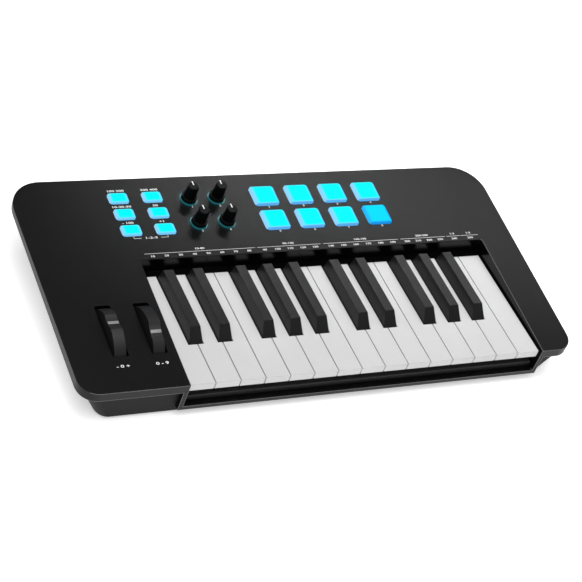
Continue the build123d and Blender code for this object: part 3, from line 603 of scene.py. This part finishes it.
def button_marks(material):
    """Plain numbers and signs behind the buttons, and a bracket in front of the last pair."""
    for number, mark in enumerate(BUTTON_MARKS, 1):
        low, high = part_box(f"button_{number}")
        x = (low[0] + high[0]) / 2
        point = on_panel(x, high[1] + BUTTON_MARK_GAP, PRINT_RISE)
        name = f"button_mark_{number}"
        lettering(name, mark, BUTTON_MARK_H, point, material, BUTTON_MARK_WIDEN)
    left = middle_of("button_5")
    right = middle_of("button_6")
    front = left.y - BRACKET_DROP
    back = front + BRACKET_H
    middle = (left.x + right.x) / 2
    runs = []
    for end, inner in ((left.x, middle - BRACKET_GAP), (right.x, middle + BRACKET_GAP)):
        corner = on_panel(end, front, PRINT_RISE)
        runs.append([on_panel(end, back, PRINT_RISE), corner, on_panel(inner, front, PRINT_RISE)])
    stripes("button_bracket", runs, BRACKET_LINE, material)
    point = on_panel(middle, front, PRINT_RISE)
    lettering("bracket_mark", "1-2-3", BUTTON_MARK_H, point, material, BRACKET_MARK_WIDEN)


def key_marks(material):
    """A ruled row of plain numbers over the keys, in six groups."""
    first_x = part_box("white_key_01")[0][0]
    rule_y = JOINTS["white_key_01_press"]["pos_m"][1] - RULE_DROP
    number = 0
    for index, (count, start, end) in enumerate(RULE_GROUPS):
        line = [on_panel(first_x + x, rule_y, PRINT_RISE) for x in (start, end)]
        stripes(f"rule_{index + 1}", [line], RULE_LINE, material)
        title = f"{10 * (number + 1)}-{10 * (number + count)}" if count > 1 else "1-2"
        middle = on_panel(first_x + (start + end) / 2, rule_y + RULE_TITLE_RISE, PRINT_RISE)
        lettering(f"rule_title_{index + 1}", title, MARK_H, middle, material, RULE_WIDEN)
        step = (end - start) / count
        for place in range(count):
            number += 1
            x = first_x + start + step * (place + 0.5)
            point = on_panel(x, rule_y - RULE_MARK_DROP, PRINT_RISE)
            mark = str(10 * number)
            lettering(f"key_mark_{number}", mark, MARK_H, point, material, RULE_WIDEN)


def wheel_marks(material):
    """A plain sign in front of each wheel."""
    for name, sign in (("pitch_wheel", "- 0 +"), ("mod_wheel", "0 - 9")):
        x = JOINTS[f"{name}_turn"]["pos_m"][0]
        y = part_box(name)[0][1]
        point = on_panel(x + WHEEL_SIGN_SHIFT, y - WHEEL_SIGN_DROP, PRINT_RISE)
        lettering(f"{name}_sign", sign, WHEEL_SIGN_H, point, material, WHEEL_SIGN_WIDEN)


# ---- Inlays ----
def knob_pointers(material):
    """The white pointer let into each knob's top."""
    for number in range(1, KNOB_COUNT + 1):
        name = f"knob_{number}"
        foot = Vector(JOINTS[f"{name}_turn"]["pos_m"])
        top = max((point - foot).dot(PANEL_NORMAL) for point in node_points(name))
        centre = foot + PANEL_NORMAL * (top - POINTER_SINK) + UP_SLOPE * POINTER_OUT
        place = panel_matrix(centre)
        pointer = f"{name}_pointer"
        bar(pointer, POINTER_SIZE, place, material, name, POINTER_ROUND)


def node_points(name):
    """A node's own vertices."""
    return [vertex.co.copy() for vertex in frame["nodes"][name].data.vertices]


def wheel_lines(material):
    """A pale bar across each wheel's finger notch: a painted reflection of the notch's gloss."""
    for name, lean in (("pitch_wheel", 0.0), ("mod_wheel", mod_lean())):
        hub = Vector(JOINTS[f"{name}_turn"]["pos_m"])
        turn = Matrix.Rotation(lean, 4, "X")
        lift = Matrix.Translation((0, 0, notch_radius() + BAND_LIFT))
        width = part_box(name)[1][0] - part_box(name)[0][0]
        place = Matrix.Translation(hub) @ turn @ lift
        size = (width - 2 * BAND_SIDE_GAP, BAND_L, BAND_T)
        bar(f"{name}_line", size, place, material, name, BAND_ROUND)


def mod_lean():
    """How far the second wheel rests from its middle: half of its whole swing."""
    return math.radians(JOINTS["mod_wheel_turn"]["range_deg"][1] / 2)


def notch_radius():
    """Distance from the wheel's axle to the bottom of its finger notch."""
    hub = Vector(JOINTS["pitch_wheel_turn"]["pos_m"])
    points = node_points("pitch_wheel")
    over = [point.z for point in points if abs(point.y - hub.y) < NOTCH_NEAR]
    return min(z for z in over if z > hub.z + NOTCH_OVER_HUB) - hub.z


# ---- Stage, light and camera ----
def stage():
    """A wide, flat, pale floor that glows a little, so that it shows white."""
    work = bmesh.new()
    reach = 6.0
    corners = [(-reach, -reach, 0), (reach, -reach, 0), (reach, reach, 0), (-reach, reach, 0)]
    work.faces.new([work.verts.new(corner) for corner in corners])
    mesh = bpy.data.meshes.new("floor")
    work.to_mesh(mesh)
    work.free()
    floor = bpy.data.objects.new("floor", mesh)
    bpy.context.scene.collection.objects.link(floor)
    m = Nodes("floor_paper")
    m.drive("Base Color", m.ramp(m.noise(3.0), (0.90, 0.90, 0.90), (0.92, 0.92, 0.92)))
    m.set(Roughness=0.9, Specular_IOR_Level=0.1)
    m.set(Emission_Color=(1.0, 1.0, 1.0), Emission_Strength=0.50)
    mesh.materials.append(m.material)


def soft_light(name, place, target, size, power, spread=180.0):
    """A rectangular soft box aimed at a point, its beam no wider than the spread."""
    light = bpy.data.lights.new(name, "AREA")
    light.shape = "RECTANGLE"
    light.size, light.size_y = size
    light.energy = power
    light.spread = math.radians(spread)
    lamp = bpy.data.objects.new(name, light)
    lamp.location = place
    lamp.rotation_euler = (Vector(target) - Vector(place)).to_track_quat("-Z", "Y").to_euler()
    bpy.context.scene.collection.objects.link(lamp)


def lighting():
    """Grey surroundings, a broad light from above and a low-powered strip behind, to the right."""
    world = bpy.data.worlds.new("studio")
    world.use_nodes = True
    background = world.node_tree.nodes["Background"]
    background.inputs["Color"].default_value = (1.0, 1.0, 1.0, 1.0)
    background.inputs["Strength"].default_value = 0.20
    bpy.context.scene.world = world
    soft_light("overhead", (-0.5, -0.3, 2.2), (0.0, 0.0, 0.0), (2.4, 2.4), 58.0)
    place = (0.465, 0.452, 0.696)
    target = (0.240, 0.068, -0.025)
    soft_light("back_glow", place, target, (0.67, 0.108), 0.276, 35.6)
    bpy.context.scene.view_settings.view_transform = "Standard"
    bpy.context.scene.view_settings.look = "None"


def camera():
    """A long lens from the front left and above, rolled so that the keyboard's right end rises."""
    azimuth = math.radians(38.72)
    elevation = math.radians(39.97)
    roll = math.radians(-23.10)
    distance = 1.6082
    aim = Vector((-0.01053, -0.01521, 0.035))
    level_share = math.cos(elevation)
    ahead = (math.sin(azimuth) * level_share, math.cos(azimuth) * level_share)
    forward = Vector((*ahead, -math.sin(elevation)))
    level = forward.to_track_quat("-Z", "Y")
    turned = Quaternion(forward, roll) @ level
    data = bpy.data.cameras.new("camera")
    data.lens = 112.15
    data.sensor_width = 36.0
    view = bpy.data.objects.new("camera", data)
    view.location = aim - forward * distance
    view.rotation_mode = "QUATERNION"
    view.rotation_quaternion = turned
    bpy.context.scene.collection.objects.link(view)
    bpy.context.scene.camera = view


def make_materials():
    """Every material, by the record's slot or by a name of its own."""
    core = (0.0, 0.95, 1.0)
    edge = (0.31, 0.62, 0.98)
    shade = (0.01, 0.20, 0.72)
    dim_core = (0.0, 0.74, 1.0)
    dim_edge = (0.02, 0.45, 0.92)
    pad_flange = flange_of("pad_1")
    # The pads' band is wider at the left: a painted reflection of the studio light on top of the cap's glow.
    pad_border = (0.13, 0.06, 0.05, 0.06)
    dim_border = (0.14, 0.1, 0.06, 0.08)
    button_flange = flange_of("button_1")
    button_border = (0.13, 0.11, 0.12, 0.11)
    return {
        "case_black": case_material(),
        "shell": shell_material(),
        "white_key": white_key_material(),
        "black_key": black_key_material(),
        "knob_black": knob_material(),
        "wheel_rubber": wheel_material(),
        "pad_lit": lit_material(
            "pad_silicone", core, edge, shade, pad_border, pad_flange, 0.8
        ),
        "pad_dim": lit_material("pad_dim", dim_core, dim_edge, shade, dim_border, pad_flange),
        "button_lit": lit_material(
            "button_silicone", core, edge, shade, button_border, button_flange, 0.35
        ),
        "light_ring": ring_material(),
        "inner_plastic": moulded("inner_plastic", 0.010, 0.1, 1500.0, 0.00006, 0.6, 0.05).material,
        "steel": metal_material("plated_steel", (0.55, 0.55, 0.55), 0.3),
        "felt": felt_material(),
        "board": board_material(),
        "inner_rubber": moulded("inner_rubber", 0.02, 0.1, 1500.0, 0.00006, 0.7, 0.05).material,
        "socket": moulded("socket_plastic", 0.03, 0.1, 1800.0, 0.00006, 0.45, 0.05).material,
        "foot_rubber": moulded("foot_rubber", 0.015, 0.15, 1500.0, 0.0001, 0.8, 0.05).material,
        "ink": print_material(),
        # The pointers' emission is a painted glow that makes them shine white.
        "inlay": inlay_material("white_inlay", 0.82, 0.20),
        # The wheels' grey bars are a painted reflection of the glossy notch.
        "notch_reflection_bar": inlay_material("notch_reflection_bar", 0.26, 0.0),
    }


materials = make_materials()
dress_nodes(materials)
control_numbers(materials["ink"])
button_marks(materials["ink"])
key_marks(materials["ink"])
wheel_marks(materials["ink"])
knob_pointers(materials["inlay"])
wheel_lines(materials["notch_reflection_bar"])
stage()
lighting()
camera()
